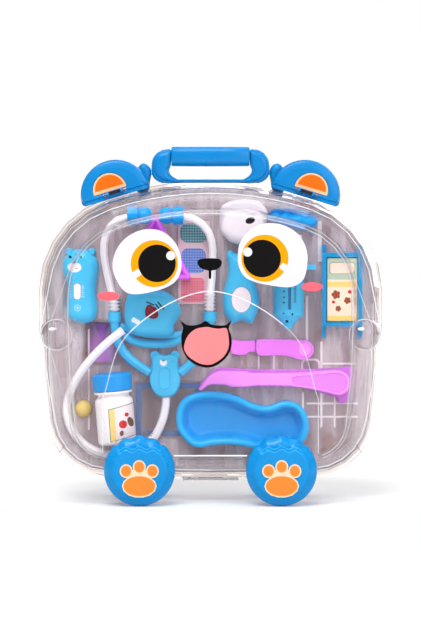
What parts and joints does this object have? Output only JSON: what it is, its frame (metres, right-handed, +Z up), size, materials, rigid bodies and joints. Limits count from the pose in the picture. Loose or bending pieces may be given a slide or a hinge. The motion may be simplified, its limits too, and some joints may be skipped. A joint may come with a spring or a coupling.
{
  "type": "toy doctor case",
  "caption": "Clear two-shell toy case with bear ears that latch it, a folding handle, paw wheels and a tray of toy doctor's instruments.",
  "frame": {"origin": "on the floor under the middle of the case", "axes": "+Z up, the printed face towards -Y, X to the right as seen from the front"},
  "size_m": [0.2706, 0.0977, 0.2794],
  "materials": {
    "clear_plastic": "clear, polished",
    "steel": "bright pin",
    "blue_plastic": "glossy moulded",
    "orange_inlay": "glossy with a cream edge",
    "orange_print": "printed film",
    "light_blue_plastic": "glossy moulded",
    "purple_plastic": "glossy moulded",
    "white_plastic": "glossy moulded",
    "yellow_plastic": "satin",
    "tray_plastic": "thin clear formed sheet",
    "backing_paper": "printed card",
    "mattress_paper": "printed card",
    "plaster_paper": "printed card",
    "eye_print": "printed film",
    "black_print": "printed film",
    "mouth_print": "printed film",
    "cheek_print": "printed film"
  },
  "bodies": {
    "case": {"rear_shell": "clear_plastic", "hinge_pin": "steel", "handle_lug_left": "blue_plastic", "handle_lug_right": "blue_plastic", "handle_pin_left": "steel", "handle_pin_right": "steel", "axle_rear_left": "steel", "axle_rear_right": "steel", "tray": "tray_plastic", "backing_card": "backing_paper", "stethoscope_yoke": "light_blue_plastic", "ear_tube_left": "white_plastic", "ear_tube_right": "white_plastic", "ear_tip_left": "blue_plastic", "ear_tip_right": "blue_plastic", "stethoscope_hose": "white_plastic", "chest_piece": "light_blue_plastic", "thermometer": "light_blue_plastic", "otoscope": "light_blue_plastic", "scalpel_handle": "purple_plastic", "scalpel_blade": "purple_plastic", "forceps": "purple_plastic", "kidney_dish": "blue_plastic", "mirror_head": "white_plastic", "mirror_grip": "blue_plastic", "reflex_hammer": "purple_plastic", "medicine_cup": "purple_plastic", "toy_ball": "yellow_plastic", "bottle": "white_plastic", "syringe_barrel": "light_blue_plastic", "bed_frame": "blue_plastic", "mattress": "mattress_paper", "plaster_card": "plaster_paper", "picture_frame": "blue_plastic"},
    "lid": {"front_shell": "clear_plastic", "latch_pin_left": "steel", "latch_pin_right": "steel", "axle_front_left": "steel", "axle_front_right": "steel", "eye_print_left": "eye_print", "eye_print_right": "eye_print", "nose_print": "black_print", "mouth_print": "mouth_print", "cheek_print_left": "cheek_print", "cheek_print_right": "cheek_print"},
    "ear_left": {"ear_latch_left": "blue_plastic", "ear_inlay_left": "orange_inlay"},
    "ear_right": {"ear_latch_right": "blue_plastic", "ear_inlay_right": "orange_inlay"},
    "handle": {"handle_frame": "blue_plastic", "handle_grip": "blue_plastic"},
    "wheel_front_left": {"wheel_front_left": "blue_plastic", "paw_print_front_left": "orange_print"},
    "wheel_front_right": {"wheel_front_right": "blue_plastic", "paw_print_front_right": "orange_print"},
    "wheel_rear_left": {"wheel_rear_left": "blue_plastic"},
    "wheel_rear_right": {"wheel_rear_right": "blue_plastic"},
    "plunger": {"syringe_plunger": "white_plastic"},
    "cap": {"bottle_cap": "blue_plastic"}
  },
  "joints": [
    {"name": "lid_hinge", "type": "hinge", "parent": "case", "child": "lid", "pos_m": [0, 0, 0.0179], "axis": [1, 0, 0], "range_deg": [0, 95]},
    {"name": "ear_latch_left", "type": "hinge", "parent": "lid", "child": "ear_left", "pos_m": [-0.07505, -0.0094, 0.24382], "axis": [0.9573, 0, 0.2891], "range_deg": [0, 80]},
    {"name": "ear_latch_right", "type": "hinge", "parent": "lid", "child": "ear_right", "pos_m": [0.07505, -0.0094, 0.24382], "axis": [0.9573, 0, -0.2891], "range_deg": [0, 80]},
    {"name": "handle_fold", "type": "hinge", "parent": "case", "child": "handle", "pos_m": [0, 0.013, 0.2587], "axis": [1, 0, 0], "range_deg": [-80, 80]},
    {"name": "plunger_slide", "type": "slide", "parent": "case", "child": "plunger", "axis": [0, 0, 1], "range_m": [-0.007, 0]},
    {"name": "bottle_cap_twist", "type": "hinge", "parent": "case", "child": "cap", "pos_m": [-0.0746, -0.0139, 0.066], "axis": [-0.0872, 0, 0.9962], "continuous": true},
    {"name": "wheel_spin_front_left", "type": "hinge", "parent": "lid", "child": "wheel_front_left", "pos_m": [-0.05534, -0.03815, 0.0277], "axis": [0, 1, 0], "continuous": true},
    {"name": "wheel_spin_front_right", "type": "hinge", "parent": "lid", "child": "wheel_front_right", "pos_m": [0.05534, -0.03815, 0.0277], "axis": [0, 1, 0], "continuous": true},
    {"name": "wheel_spin_rear_left", "type": "hinge", "parent": "case", "child": "wheel_rear_left", "pos_m": [-0.05534, 0.03815, 0.0277], "axis": [0, 1, 0], "continuous": true},
    {"name": "wheel_spin_rear_right", "type": "hinge", "parent": "case", "child": "wheel_rear_right", "pos_m": [0.05534, 0.03815, 0.0277], "axis": [0, 1, 0], "continuous": true}
  ]
}
